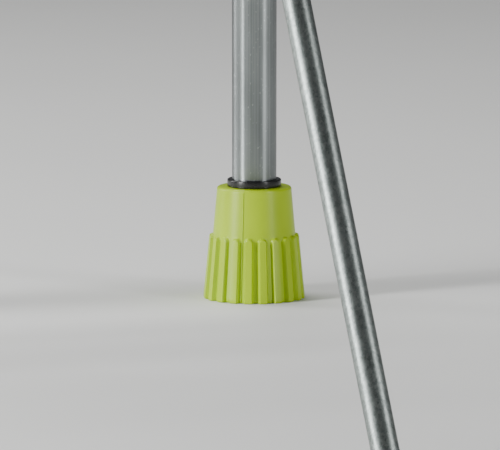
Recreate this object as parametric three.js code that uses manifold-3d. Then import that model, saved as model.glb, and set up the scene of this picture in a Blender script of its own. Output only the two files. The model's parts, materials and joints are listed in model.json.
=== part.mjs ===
// Orchard tripod ladder: two splayed tube stiles with four treads, a cast head, and a folding,
// telescopic prop as the third leg. Millimetres, +Z up, the climbing side faces -Y.
import * as THREE from 'three';
import { mergeVertices } from 'three/addons/utils/BufferGeometryUtils.js';
import Module from 'manifold-3d';

const wasm = await Module();
wasm.setup();

// ---- Driving dimensions -------------------------------------------------------------------
const gap = 0.3; // between pieces that touch
const through = 60; // half the length of a cut that runs right through a piece
const roundSides = 24; // facets of a tube
const smallSides = 10; // facets of a bolt or pin

const stileFootX = 362; // half the width between the stile feet
const stileLean = 0.218; // backward run per unit of height
const stileSplay = 0.0793; // inward run per unit of height
const stileR = 22.5;
const stileBore = 20.5;
const stileBottomZ = 60; // inside the foot's socket
const stileTopZ = 1650;

const footHeight = 114;
const stileFootShape = { height: footHeight, ribTop: 65, baseR: 47.6, topR: 37.6, ribDepth: 3.6, ribs: 20 };
const collarR = 27.4;
const collarHeight = 7.6;
const capPlugDepth = 20; // inside the stile
const capLidHeight = 4;
const capCrownHeight = 6.5;
const capChamfer = 3;

const treadTops = [375, 665, 955, 1245];
const treadDepth = 80;
const treadHeight = 28;
const treadWall = 2.5;
const treadRidges = 8;
const ridgeHeight = 1.8;

const saddleWeb = 12; // bracket material between the stile and the tread end
const saddleHalfDepth = 31;
const tongueLength = 42;
const tongueHalfDepth = 32;
const boltR = 4;
const boltHeadR = 7.5;
const boltHeadH = 5.5;
const boltReach = 52; // from the stile's axis into the bracket
const screwR = 2.5;
const screwHeadR = 5;
const screwHeadH = 2.6;
const screwLength = 8;

const headBarHalf = 28; // half the height of the head's I section
const headFlangeHalf = 16;
const headFlangeT = 6;
const headWebHalf = 5;
const headOverlap = 4; // of the web into each flange
const socketR = 28.5;
const socketBelow = 50; // below and above the hinge's height
const socketAbove = 32;
const headBoltDrop = 12; // below the hinge's height
const headNutH = 6.5;
const headBoltTail = 10; // shank past the socket's surface

const hingeZ = 1600;
const hingeOffset = 73.7; // from the stile plane back to the hinge pin, at one height
const hingePinR = 6;
const hingeBoreR = 6.08; // running fit on the pin
const earInnerX = 17;
const earOuterX = 25.6;
const earRootR = 27;
const earRootBack = 10; // from the stile plane
const earR = 18;
const earStopR = 12;
const hingeHeadR = 10;
const hingeHeadH = 6;
const hingeNutR = 10.4;
const hingeNutH = 9;
const hingeTail = 11; // shank past the nut's seat
const washerR = 11.5;
const washerT = 1.6;
const rivetHeadR = 9;
const rivetHeadH = 3.4;

const propFloorY = 1365; // where the prop's axis meets the floor
const outerR = 16;
const outerBore = 14;
const outerTop = 36; // distances down the prop, from the hinge pin
const outerBottom = 1300;
const eyeHubR = 17;
const neckR = 15.5;
const neckTop = 8;
const eyePlugEnd = 95;
const eyeBoltAlong = 68;
const eyeBoltR = 3;
const eyeBoltHeadR = 5.8;
const eyeBoltHeadH = 4;
const eyeNutH = 5;
const eyeBoltTail = 7; // shank past the tube's surface
const stopAlong = 27;
const stopR = 6;
const guideTop = 1262;
const guideBottom = 1332;
const guideR = 21;
const guideFit = 0.25; // running gap round the inner tube
const collarScrewDrop = 16; // below the collar's top
const collarScrewR = 2;
const collarScrewHeadR = 4.4;
const collarScrewHeadH = 2.4;
const clampAlong = 1317;
const bossR = 11;
const bossEnd = 30; // distances out from the prop's axis
const insertStart = 18.4;
const insertEnd = 29.7;
const insertR = 7;
const studBoreR = 4.08; // running fit on the stud
const studTipGap = 0.35; // short of the inner tube
const studEnd = 42;
const studSides = 20;
const knobStart = 31;
const knobLobeEnd = 46;
const knobHubEnd = 48;
const knobHubR = 13.5;
const knobLobeR = 5.5;
const knobLobes = 6;
const innerR = 12.5;
const innerBore = 10.5;
const innerTop = 720;
const innerEndZ = 24; // height of the inner tube's lower end
const bushR = 13.85;
const bushHeadH = 15;
const bushPlugDepth = 30;

const propFootHeight = 62;
const propFootShape = { height: propFootHeight, ribTop: 36, baseR: 34.5, topR: 28, ribDepth: 2.4, ribs: 20 };
const propCollarR = 19.5;
const propCollarHeight = 6;
const propFootShift = -6; // from the foot's axis to the tube's axis, at the foot's top

// ---- Derived places -----------------------------------------------------------------------
const hinge = new THREE.Vector3(0, stileLean * (hingeZ - footHeight) + hingeOffset, hingeZ);
const propRun = (propFloorY - hinge.y) / hingeZ;
const propTilt = Math.atan(propRun);
const propLength = hingeZ / Math.cos(propTilt);
const xAxis = new THREE.Vector3(1, 0, 0);
const yAxis = new THREE.Vector3(0, 1, 0);

const stileAxis = (side, z) =>
  new THREE.Vector3(side * (stileFootX - stileSplay * (z - footHeight)), stileLean * (z - footHeight), z);
const propAxis = (z) => new THREE.Vector3(0, propFloorY - propRun * z, z);
const stileDirection = (side) => stileAxis(side, 1).sub(stileAxis(side, 0)).normalize();

// ---- Materials ----------------------------------------------------------------------------
const finish = (color, roughness, metalness) =>
  new THREE.MeshStandardMaterial({ color, roughness, metalness });
const aluminium = finish(0x9a9c9e, 0.38, 1);
const castAluminium = finish(0x8b8d90, 0.55, 1);
const galvanised = finish(0x84878a, 0.5, 1);
const zinc = finish(0xa5a6a3, 0.4, 1);
const lime = finish(0x93a82b, 0.55, 0);
const black = finish(0x121212, 0.3, 0);
const brass = finish(0xb08d4a, 0.4, 1);

// ---- Solids -------------------------------------------------------------------------------
// A closed geometry as a solid: corners merged, collapsed facets dropped, faces turned outwards.
function solid(geometry, matrix = new THREE.Matrix4()) {
  const bare = geometry.clone().applyMatrix4(matrix);
  bare.deleteAttribute('normal');
  bare.deleteAttribute('uv');
  const merged = mergeVertices(bare, 1e-4);
  const points = merged.attributes.position;
  const index = merged.index.array;
  const triangles = [];
  const [a, b, c] = [new THREE.Vector3(), new THREE.Vector3(), new THREE.Vector3()];
  let volume = 0;
  for (let i = 0; i < index.length; i += 3) {
    const corners = [index[i], index[i + 1], index[i + 2]];
    if (new Set(corners).size < 3) continue;
    triangles.push(corners);
    a.fromBufferAttribute(points, corners[0]);
    b.fromBufferAttribute(points, corners[1]);
    c.fromBufferAttribute(points, corners[2]);
    volume += a.dot(b.cross(c));
  }
  if (volume < 0) triangles.forEach((corners) => corners.reverse());
  const triVerts = new Uint32Array(triangles.flat());
  return new wasm.Manifold(new wasm.Mesh({ numProp: 3, vertProperties: points.array, triVerts }));
}

// A straight round bar between two points; with 6 sides it is a hexagon.
function rod(from, to, radius, sides = roundSides) {
  const along = to.clone().sub(from);
  const turn = new THREE.Quaternion().setFromUnitVectors(yAxis, along.clone().normalize());
  const middle = from.clone().add(to).multiplyScalar(0.5);
  const matrix = new THREE.Matrix4().compose(middle, turn, new THREE.Vector3(1, 1, 1));
  return solid(new THREE.CylinderGeometry(radius, radius, along.length(), sides), matrix);
}

// A bar from one distance to another along a direction through a point.
function bar(point, direction, start, end, radius, sides = smallSides) {
  const from = point.clone().addScaledVector(direction, start);
  return rod(from, point.clone().addScaledVector(direction, end), radius, sides);
}

// A bar that runs far past a point both ways.
const throughBar = (point, direction, radius, sides) =>
  bar(point, direction, -through, through, radius, sides);

function pipe(from, to, outer, inner, sides = roundSides) {
  const past = to.clone().sub(from).setLength(1);
  const bore = rod(from.clone().sub(past), to.clone().add(past), inner, sides);
  return rod(from, to, outer, sides).subtract(bore);
}

function block(x0, x1, y0, y1, z0, z1) {
  const matrix = new THREE.Matrix4().makeTranslation((x0 + x1) / 2, (y0 + y1) / 2, (z0 + z1) / 2);
  return solid(new THREE.BoxGeometry(Math.abs(x1 - x0), Math.abs(y1 - y0), Math.abs(z1 - z0)), matrix);
}

const joined = (solids) => solids.reduce((whole, piece) => whole.add(piece));
const at = (x, y, z) => new THREE.Vector3(x, y, z);

function piece(name, shape, material) {
  const { vertProperties, triVerts } = shape.getMesh();
  const geometry = new THREE.BufferGeometry();
  geometry.setAttribute('position', new THREE.BufferAttribute(vertProperties, 3));
  geometry.setIndex(new THREE.BufferAttribute(triVerts, 1));
  geometry.computeVertexNormals();
  const mesh = new THREE.Mesh(geometry, material);
  mesh.name = name;
  return mesh;
}

// What the stile takes out of a piece that it passes through at a height.
const stileCut = (side, z) => rod(stileAxis(side, z - through), stileAxis(side, z + through), stileR + gap);

// ---- Feet ---------------------------------------------------------------------------------
// A moulded foot on the floor: a cone with flat-topped ribs round its lower part.
function ribbedFoot({ height, ribTop, baseR, topR, ribDepth, ribs }) {
  const coneR = (z) => baseR + ((topR - baseR) * z) / height;
  const ribStart = ribTop * 0.86; // the ribs' full depth ends here and fades out above
  const rim = 2;
  const heights = [0, ribStart, ribTop, height - rim];
  const profile = [new THREE.Vector2(0, 0)];
  heights.forEach((z) => profile.push(new THREE.Vector2(coneR(z), z)));
  profile.push(new THREE.Vector2(topR - rim, height), new THREE.Vector2(0, height));
  const stepsPerRib = 4;
  const geometry = new THREE.LatheGeometry(profile, ribs * stepsPerRib);
  geometry.rotateX(Math.PI / 2);
  const points = geometry.attributes.position;
  for (let i = 0; i < points.count; i += 1) {
    const [x, y, z] = [points.getX(i), points.getY(i), points.getZ(i)];
    const radius = Math.hypot(x, y);
    const step = Math.round((Math.atan2(y, x) / (2 * Math.PI)) * ribs * stepsPerRib);
    const onRib = ((step % stepsPerRib) + stepsPerRib) % stepsPerRib !== 0;
    if (radius < 1 || !onRib || z > ribStart + 1) continue;
    const grown = 1 + ribDepth / radius;
    points.setXY(i, x * grown, y * grown);
  }
  return solid(geometry);
}

function stileFoot(side) {
  const foot = ribbedFoot(stileFootShape).translate([side * stileFootX, 0, 0]);
  const end = stileAxis(side, stileBottomZ).addScaledVector(stileDirection(side), -gap);
  return foot.subtract(rod(end, stileAxis(side, footHeight + through), stileR + gap));
}

function stileFootCollar(side) {
  const x = side * stileFootX;
  const ring = rod(at(x, 0, footHeight + gap), at(x, 0, footHeight + gap + collarHeight), collarR);
  return ring.subtract(stileCut(side, footHeight));
}

function propFoot() {
  const centreY = propAxis(propFootHeight).y - propFootShift;
  const end = propAxis(innerEndZ);
  end.add(propAxis(0).sub(propAxis(1)).setLength(gap));
  const socket = rod(end, propAxis(propFootHeight + through), innerR + gap);
  return ribbedFoot(propFootShape).translate([0, centreY, 0]).subtract(socket);
}

function propFootCollar() {
  const bottom = propFootHeight + gap;
  const centreY = propAxis(bottom + propCollarHeight / 2).y;
  const ring = rod(at(0, centreY, bottom), at(0, centreY, bottom + propCollarHeight), propCollarR);
  return ring.subtract(rod(propAxis(0), propAxis(bottom + through), innerR + gap));
}

// ---- Stiles, treads and their brackets ----------------------------------------------------
const treadMiddle = (top) => top - treadHeight / 2;
const saddlePoint = (side, top) => stileAxis(side, treadMiddle(top));
const treadEndX = (top) => saddlePoint(1, top).x - stileR - saddleWeb;

// Square to the stile and pointing away from the other one.
function outward(side) {
  const along = stileDirection(side);
  const across = xAxis.clone().multiplyScalar(side);
  return across.addScaledVector(along, -across.dot(along)).normalize();
}

// Square to the stile and to the head, pointing backwards.
const backward = (side) => new THREE.Vector3().crossVectors(stileDirection(side), xAxis).normalize();
const headBoltPoint = (side) => stileAxis(side, hingeZ - headBoltDrop);

function stile(side) {
  const tube = pipe(stileAxis(side, stileBottomZ), stileAxis(side, stileTopZ), stileR, stileBore);
  const drills = treadTops.map((top) => throughBar(saddlePoint(side, top), outward(side), boltR + gap));
  drills.push(throughBar(headBoltPoint(side), backward(side), boltR + gap));
  return tube.subtract(joined(drills));
}

function stileCap(side) {
  const along = stileDirection(side);
  const top = stileAxis(side, stileTopZ);
  const plug = bar(top, along, -capPlugDepth, 1, stileBore - gap, roundSides);
  const lid = bar(top, along, gap, capLidHeight, stileR, roundSides);
  const crown = bar(top, along, capLidHeight - 1, capCrownHeight, stileR - capChamfer, roundSides);
  return joined([plug, lid, crown]);
}

// The tread's hollow section with ridges along its top, drawn across the ladder's width.
function treadSection() {
  const half = treadDepth / 2;
  const corner = 5;
  const outline = new THREE.Shape();
  outline.moveTo(-half + corner, 0);
  outline.absarc(half - corner, corner, corner, -Math.PI / 2, 0, false);
  outline.lineTo(half, treadHeight);
  const pitch = treadDepth / treadRidges;
  for (let i = 0; i < treadRidges; i += 1) {
    const right = half - (i + 0.25) * pitch;
    outline.lineTo(right, treadHeight);
    outline.lineTo(right, treadHeight + ridgeHeight);
    outline.lineTo(right - pitch / 2, treadHeight + ridgeHeight);
    outline.lineTo(right - pitch / 2, treadHeight);
  }
  outline.lineTo(-half, treadHeight);
  outline.absarc(-half + corner, corner, corner, Math.PI, 1.5 * Math.PI, false);
  const inside = new THREE.Path();
  const [w, low, high] = [half - treadWall, treadWall, treadHeight - treadWall];
  inside.moveTo(-w + corner, low);
  inside.lineTo(-w, low + corner);
  inside.lineTo(-w, high);
  inside.lineTo(w, high);
  inside.lineTo(w, low + corner);
  inside.lineTo(w - corner, low);
  inside.closePath();
  outline.holes.push(inside);
  return outline;
}

const up = at(0, 0, 1);

// Where the screw under the tread's end goes up into the bracket's tongue.
const screwPlace = (side, top) =>
  at(side * (treadEndX(top) - tongueLength / 2), saddlePoint(side, top).y, top - treadHeight);

function tread(top) {
  const length = 2 * (treadEndX(top) - gap);
  const options = { depth: length, bevelEnabled: false, curveSegments: 4 };
  const geometry = new THREE.ExtrudeGeometry(treadSection(), options);
  geometry.translate(0, 0, -length / 2);
  // Section x becomes +Y, section y becomes +Z, and the run becomes +X.
  const turn = new THREE.Matrix4().makeBasis(at(0, 1, 0), up, xAxis);
  turn.setPosition(0, saddlePoint(1, top).y, top - treadHeight);
  const drills = [-1, 1].map((side) => bar(screwPlace(side, top), up, -2, treadWall + 2, screwR + gap));
  return solid(geometry, turn).subtract(joined(drills));
}

function bracket(side, top) {
  const centre = saddlePoint(side, top);
  const end = side * treadEndX(top);
  const half = treadHeight / 2;
  // A box from one x to another, as deep and as high as given, about the tread's middle.
  const boxed = (x0, x1, deep, high) =>
    block(x0, x1, centre.y - deep, centre.y + deep, centre.z - high, centre.z + high);
  const saddle = boxed(end, centre.x, saddleHalfDepth, half);
  const tongue = boxed(end - side * tongueLength, end + side, tongueHalfDepth, half - treadWall - gap);
  const boltCut = throughBar(centre, outward(side), boltR + gap);
  const screwCut = bar(screwPlace(side, top), up, -2, screwLength + 2, screwR + gap);
  return saddle.add(tongue).subtract(joined([stileCut(side, centre.z), boltCut, screwCut]));
}

// One bolt for each bracket, from outside the stile through it and into the bracket.
function treadBolt(side, top) {
  const centre = saddlePoint(side, top);
  const head = bar(centre, outward(side), stileR + gap, stileR + gap + boltHeadH, boltHeadR, 6);
  return head.add(bar(centre, outward(side), -boltReach, stileR + 1, boltR));
}

function treadScrew(side, top) {
  const place = screwPlace(side, top);
  const head = bar(place, up, -gap - screwHeadH, -gap, screwHeadR);
  return head.add(bar(place, up, -1, screwLength, screwR, 8));
}

// ---- Head and hinge -----------------------------------------------------------------------
// The outline round two circles in the YZ plane, extruded across X.
function link(a, aR, b, bR, x0, x1) {
  const lean = Math.atan2(b.z - a.z, b.y - a.y);
  const open = Math.acos((aR - bR) / Math.hypot(b.y - a.y, b.z - a.z));
  const outline = new THREE.Shape();
  outline.absarc(a.y, a.z, aR, lean + open, lean - open + 2 * Math.PI, false);
  outline.absarc(b.y, b.z, bR, lean - open, lean + open, false);
  const options = { depth: x1 - x0, bevelEnabled: false, curveSegments: 8 };
  const geometry = new THREE.ExtrudeGeometry(outline, options);
  const turn = new THREE.Matrix4().makeBasis(at(0, 1, 0), up, xAxis);
  return solid(geometry, turn.setPosition(x0, 0, 0));
}

const propDown = at(0, Math.sin(propTilt), -Math.cos(propTilt));
const propBack = at(0, Math.cos(propTilt), Math.sin(propTilt));
const stopOut = neckR + gap + stopR;
const stopPoint = hinge.clone().addScaledVector(propDown, stopAlong).addScaledVector(propBack, stopOut);

function headCasting() {
  const plane = stileAxis(1, hingeZ);
  const reach = plane.x - 20;
  const boxed = (deep, low, high) =>
    block(-reach, reach, plane.y - deep, plane.y + deep, hingeZ + low, hingeZ + high);
  const webEnd = headBarHalf - headFlangeT + headOverlap;
  const sections = [
    boxed(headWebHalf, -webEnd, webEnd),
    boxed(headFlangeHalf, headBarHalf - headFlangeT, headBarHalf),
    boxed(headFlangeHalf, -headBarHalf, headFlangeT - headBarHalf),
  ];
  const root = at(0, plane.y + earRootBack, hingeZ);
  const cuts = [];
  [-1, 1].forEach((side) => {
    const socketEnd = stileAxis(side, hingeZ + socketAbove);
    sections.push(rod(stileAxis(side, hingeZ - socketBelow), socketEnd, socketR));
    cuts.push(stileCut(side, hingeZ));
    cuts.push(throughBar(headBoltPoint(side), backward(side), boltR + gap));
    const [x0, x1] = side < 0 ? [-earOuterX, -earInnerX] : [earInnerX, earOuterX];
    sections.push(link(root, earRootR, hinge, earR, x0, x1));
    sections.push(link(hinge, earR, stopPoint, earStopR, x0, x1));
  });
  cuts.push(throughBar(hinge, xAxis, hingePinR + gap, roundSides));
  cuts.push(throughBar(stopPoint, xAxis, stopR + gap, roundSides));
  return joined(sections).subtract(joined(cuts));
}

const headBoltSeat = socketR + gap;

function headBolt(side) {
  const place = [headBoltPoint(side), backward(side)];
  const head = bar(...place, headBoltSeat, headBoltSeat + boltHeadH, boltHeadR, 6);
  return head.add(bar(...place, -headBoltSeat - headBoltTail, headBoltSeat + 1, boltR));
}

function headNut(side) {
  const place = [headBoltPoint(side), backward(side)];
  const nut = bar(...place, -headBoltSeat - headNutH, -headBoltSeat, boltHeadR, 6);
  return nut.subtract(throughBar(...place, boltR + gap));
}

const washerSeat = earOuterX + gap;
const nutSeat = washerSeat + washerT + gap;

function hingePin() {
  const head = bar(hinge, xAxis, -nutSeat - hingeHeadH, -nutSeat, hingeHeadR, 6);
  return head.add(bar(hinge, xAxis, -nutSeat - 1, nutSeat + hingeTail, hingePinR, roundSides));
}

function hingeWasher(side) {
  const disc = bar(hinge, xAxis, side * washerSeat, side * (washerSeat + washerT), washerR, roundSides);
  return disc.subtract(throughBar(hinge, xAxis, hingePinR + gap, roundSides));
}

function hingeNut() {
  const nut = bar(hinge, xAxis, nutSeat, nutSeat + hingeNutH, hingeNutR, 6);
  return nut.subtract(throughBar(hinge, xAxis, hingePinR + gap, roundSides));
}

// A riveted cross pin that the prop's neck rests against when the ladder is open.
function stopPin() {
  const heads = [-1, 1].map((side) =>
    bar(stopPoint, xAxis, side * washerSeat, side * (washerSeat + rivetHeadH), rivetHeadR));
  return joined([bar(stopPoint, xAxis, -washerSeat - 1, washerSeat + 1, stopR), ...heads]);
}

// ---- Prop, in its own frame: the hinge pin at the origin and the tube running down -Z -------
const down = (distance) => at(0, 0, -distance);
const eyeBoltPoint = down(eyeBoltAlong);
const clampPoint = down(clampAlong);
const collarScrewPoint = down(guideTop + collarScrewDrop);
const eyeBoltCut = () => throughBar(eyeBoltPoint, xAxis, eyeBoltR + gap);
const collarScrewCut = () => bar(collarScrewPoint, yAxis, 0, through, collarScrewR + gap);

function propEye() {
  const hub = bar(down(0), xAxis, -earInnerX + gap, earInnerX - gap, eyeHubR, roundSides);
  const neck = rod(down(neckTop), down(outerTop - gap), neckR);
  const plug = rod(down(outerTop - 1), down(eyePlugEnd), outerBore - gap);
  const bore = throughBar(down(0), xAxis, hingeBoreR, roundSides);
  return joined([hub, neck, plug]).subtract(bore).subtract(eyeBoltCut());
}

function outerTube() {
  const tube = pipe(down(outerBottom), down(outerTop), outerR, outerBore);
  return tube.subtract(eyeBoltCut()).subtract(collarScrewCut());
}

function eyeBolt() {
  const head = bar(eyeBoltPoint, xAxis, -outerR - gap - eyeBoltHeadH, -outerR - gap, eyeBoltHeadR, 6);
  return head.add(bar(eyeBoltPoint, xAxis, -outerR - 1, outerR + eyeBoltTail, eyeBoltR));
}

function eyeNut() {
  const nut = bar(eyeBoltPoint, xAxis, outerR + gap, outerR + gap + eyeNutH, eyeBoltHeadR, 6);
  return nut.subtract(eyeBoltCut());
}

// A plastic collar over the outer tube's end; its lower half guides the inner tube.
function guideCollar() {
  const body = rod(down(guideBottom), down(guideTop), guideR);
  const boss = bar(clampPoint, yAxis, outerBore, bossEnd, bossR, roundSides);
  const cuts = [
    rod(down(outerBottom + gap), down(guideTop - 1), outerR + gap),
    rod(down(guideBottom + 1), down(guideTop), innerR + guideFit),
    bar(clampPoint, yAxis, 0, insertStart - 2 * gap, boltR + 1),
    bar(clampPoint, yAxis, insertStart - 1, bossEnd + 1, insertR + gap),
    collarScrewCut(),
  ];
  return body.add(boss).subtract(joined(cuts));
}

// The screw that holds the guide collar to the outer tube.
function collarScrew() {
  const head = bar(collarScrewPoint, yAxis, guideR + gap, guideR + collarScrewHeadH, collarScrewHeadR);
  return head.add(bar(collarScrewPoint, yAxis, outerBore + 0.1, guideR + 1, collarScrewR));
}

function clampInsert() {
  const insert = bar(clampPoint, yAxis, insertStart, insertEnd, insertR);
  return insert.subtract(throughBar(clampPoint, yAxis, studBoreR, studSides));
}

// The stud's tip stops just short of the inner tube that it presses on.
const clampStud = () => bar(clampPoint, yAxis, innerR + studTipGap, studEnd, boltR, studSides);

function clampKnob() {
  const lobes = Array.from({ length: knobLobes }, (_, i) => {
    const turn = (i * 2 * Math.PI) / knobLobes;
    const place = clampPoint.clone().add(at(knobHubR * Math.cos(turn), 0, knobHubR * Math.sin(turn)));
    return bar(place, yAxis, knobStart, knobLobeEnd, knobLobeR);
  });
  const hub = bar(clampPoint, yAxis, knobStart, knobHubEnd, knobHubR, roundSides);
  return joined([hub, ...lobes]).subtract(bar(clampPoint, yAxis, 0, studEnd + gap, boltR + gap));
}

const innerBottom = propLength - innerEndZ / Math.cos(propTilt);
const innerTube = () => pipe(down(innerBottom), down(innerTop), innerR, innerBore);

function innerBush() {
  const head = rod(down(innerTop - gap), down(innerTop - bushHeadH), bushR);
  return head.add(rod(down(innerTop + bushPlugDepth), down(innerTop - 2), innerBore - gap));
}

// ---- Assembly -----------------------------------------------------------------------------
const ladder = new THREE.Group();
[[-1, 'left'], [1, 'right']].forEach(([side, name]) => {
  ladder.add(piece(`${name}_stile`, stile(side), aluminium));
  ladder.add(piece(`${name}_stile_cap`, stileCap(side), black));
  ladder.add(piece(`${name}_foot`, stileFoot(side), lime));
  ladder.add(piece(`${name}_foot_collar`, stileFootCollar(side), black));
  ladder.add(piece(`${name}_head_bolt`, headBolt(side), zinc));
  ladder.add(piece(`${name}_head_nut`, headNut(side), zinc));
  ladder.add(piece(`${name}_hinge_washer`, hingeWasher(side), zinc));
  treadTops.forEach((top, i) => {
    ladder.add(piece(`${name}_bracket_${i + 1}`, bracket(side, top), castAluminium));
    ladder.add(piece(`${name}_tread_bolt_${i + 1}`, treadBolt(side, top), zinc));
    ladder.add(piece(`${name}_tread_screw_${i + 1}`, treadScrew(side, top), zinc));
  });
});
treadTops.forEach((top, i) => ladder.add(piece(`tread_${i + 1}`, tread(top), aluminium)));
ladder.add(piece('head_casting', headCasting(), castAluminium));
ladder.add(piece('hinge_pin', hingePin(), zinc));
ladder.add(piece('hinge_nut', hingeNut(), zinc));
ladder.add(piece('stop_pin', stopPin(), zinc));
ladder.add(piece('prop_foot', propFoot(), lime));
ladder.add(piece('prop_foot_collar', propFootCollar(), black));

const prop = new THREE.Group();
prop.position.copy(hinge);
prop.rotation.x = propTilt;
prop.add(piece('prop_eye', propEye(), castAluminium));
prop.add(piece('prop_outer_tube', outerTube(), galvanised));
prop.add(piece('eye_bolt', eyeBolt(), zinc));
prop.add(piece('eye_nut', eyeNut(), zinc));
prop.add(piece('guide_collar', guideCollar(), black));
prop.add(piece('collar_screw', collarScrew(), zinc));
prop.add(piece('clamp_insert', clampInsert(), brass));
prop.add(piece('clamp_stud', clampStud(), zinc));
prop.add(piece('clamp_knob', clampKnob(), black));
prop.add(piece('prop_inner_tube', innerTube(), galvanised));
prop.add(piece('inner_tube_bush', innerBush(), black));
ladder.add(prop);

// The origin is on the floor, at the middle of the whole ladder's box.
ladder.updateMatrixWorld(true);
const middle = new THREE.Box3().setFromObject(ladder, true).getCenter(new THREE.Vector3());
ladder.position.y = -middle.y;
ladder.updateMatrixWorld(true);

export default ladder;
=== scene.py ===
"""Looks for the orchard tripod ladder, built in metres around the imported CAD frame.

Each tube, foot, tread and casting is rebuilt as a fine mesh where its CAD node says, and every material
is procedural. The camera stands behind the ladder, on the prop's side.
"""
import json
import math

import bmesh
import bpy
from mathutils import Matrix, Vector


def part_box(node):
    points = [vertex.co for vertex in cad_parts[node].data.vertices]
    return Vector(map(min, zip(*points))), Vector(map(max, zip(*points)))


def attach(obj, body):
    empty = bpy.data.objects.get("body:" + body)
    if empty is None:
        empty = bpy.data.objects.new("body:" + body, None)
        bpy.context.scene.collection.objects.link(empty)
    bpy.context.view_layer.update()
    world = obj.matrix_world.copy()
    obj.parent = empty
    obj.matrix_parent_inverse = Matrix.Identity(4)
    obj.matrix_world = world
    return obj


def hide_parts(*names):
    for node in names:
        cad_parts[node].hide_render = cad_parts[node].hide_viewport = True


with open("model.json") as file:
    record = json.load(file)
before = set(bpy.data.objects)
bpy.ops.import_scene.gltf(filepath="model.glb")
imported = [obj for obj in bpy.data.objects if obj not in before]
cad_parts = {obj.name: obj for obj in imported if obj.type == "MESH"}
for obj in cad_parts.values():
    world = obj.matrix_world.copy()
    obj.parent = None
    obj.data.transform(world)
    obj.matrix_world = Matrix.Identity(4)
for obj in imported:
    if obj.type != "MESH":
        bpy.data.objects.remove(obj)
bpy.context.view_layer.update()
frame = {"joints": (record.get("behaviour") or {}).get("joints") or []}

MM = 0.001
X_AXIS = Vector((1, 0, 0))
Y_AXIS = Vector((0, 1, 0))
UP = Vector((0, 0, 1))

# ---- Sizes, the same as the CAD's, in metres ----------------------------------------------
STILE_LEAN = 0.218
STILE_SPLAY = 0.0793
STILE_R = 22.5 * MM
STILE_BORE = 20.5 * MM
STILE_BOTTOM = 60 * MM
STILE_TOP = 1650 * MM
CAP_PLUG = 20 * MM
CAP_HEIGHT = 6.5 * MM
FOOT_HEIGHT = 114 * MM
# A foot's height, its ribs' tops, its radii at the floor and at the top, and the ribs' depth.
STILE_FOOT = {"height": FOOT_HEIGHT, "rib_top": 65.5 * MM, "base": 47.6 * MM, "top": 37.6 * MM,
              "depth": 3.6 * MM}
PROP_FOOT = {"rib_top": 36.5 * MM, "base": 34.5 * MM, "top": 28 * MM, "depth": 2.3 * MM}
RING_R = 27.4 * MM
RING_HEIGHT = 7.6 * MM
PROP_RING_R = 19.5 * MM
PROP_RING_HEIGHT = 6 * MM
TREAD_TOPS = [375 * MM, 665 * MM, 955 * MM, 1245 * MM]
TREAD_DEPTH = 80 * MM
TREAD_HEIGHT = 28 * MM
TREAD_WALL = 2.5 * MM
TREAD_RIDGES = 8
RIDGE_HEIGHT = 1.8 * MM
SADDLE_WEB = 12 * MM
SADDLE_HALF = 31 * MM
SADDLE_BACK = 1 * MM  # how far the saddle's horns stop short of the stile's middle
TONGUE = 42 * MM
TONGUE_HALF = 32 * MM
GAP = 0.3 * MM  # between pieces that touch
SNUG = 0.15 * MM
BOLT_R = 4 * MM
BOLT_HEAD_R = 7.5 * MM
BOLT_HEAD_H = 5.5 * MM
BOLT_REACH = 52 * MM
SOCKET_R = STILE_R + 6 * MM
OUTER_R = 16 * MM
OUTER_BORE = 14 * MM
OUTER_TOP = 36 * MM  # distances down the prop, from the hinge pin
OUTER_BOTTOM = 1300 * MM
INNER_R = 12.5 * MM
INNER_BORE = 10.5 * MM
INNER_TOP = 720 * MM
INNER_END_Z = 24 * MM  # height of the inner tube's lower end
EYE_BOLT_ALONG = 68 * MM
GUIDE_TOP = 1262 * MM
GUIDE_BOTTOM = 1332 * MM
GUIDE_R = 21 * MM
EAR_IN = 17 * MM
EAR_OUT = 25.6 * MM
EAR_R = 18 * MM
PIN_R = 6 * MM
WASHER = 1.6 * MM
INSERT_R = 7 * MM
KNOB_R = 16 * MM
KNOB_LOBES = 6
LOBE_DEPTH = 2.6 * MM
HEX_SIDES = 6

# ---- Places, read from the frame ----------------------------------------------------------
joints = {joint["name"]: joint for joint in frame["joints"]}
hinge = Vector(joints["prop_fold"]["pos_m"])
prop_down = Vector(joints["leg_extend"]["axis"]).normalized()
prop_back = Vector(joints["clamp_turn"]["axis"]).normalized()
clamp_point = Vector(joints["clamp_turn"]["pos_m"])


def box_middle(node):
    low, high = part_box(node)
    return (low + high) / 2


foot_middle = {-1: box_middle("left_foot"), 1: box_middle("right_foot")}
SIDES = {-1: "left", 1: "right"}


def stile_point(side, z):
    """The point of a stile's axis at a height."""
    foot = foot_middle[side]
    rise = z - FOOT_HEIGHT
    return Vector((foot.x - side * STILE_SPLAY * rise, foot.y + STILE_LEAN * rise, z))


def stile_direction(side):
    return (stile_point(side, 1) - stile_point(side, 0)).normalized()


def prop_point(distance):
    """The point of the prop's axis at a distance down from the hinge pin."""
    return hinge + prop_down * distance


# ---- Materials ----------------------------------------------------------------------------
def srgb(r, g, b):
    """Linear RGBA from 0 to 255 display values."""
    parts = [c / 255 for c in (r, g, b)]
    linear = [c / 12.92 if c <= 0.04045 else ((c + 0.055) / 1.055) ** 2.4 for c in parts]
    return (*linear, 1.0)


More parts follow.
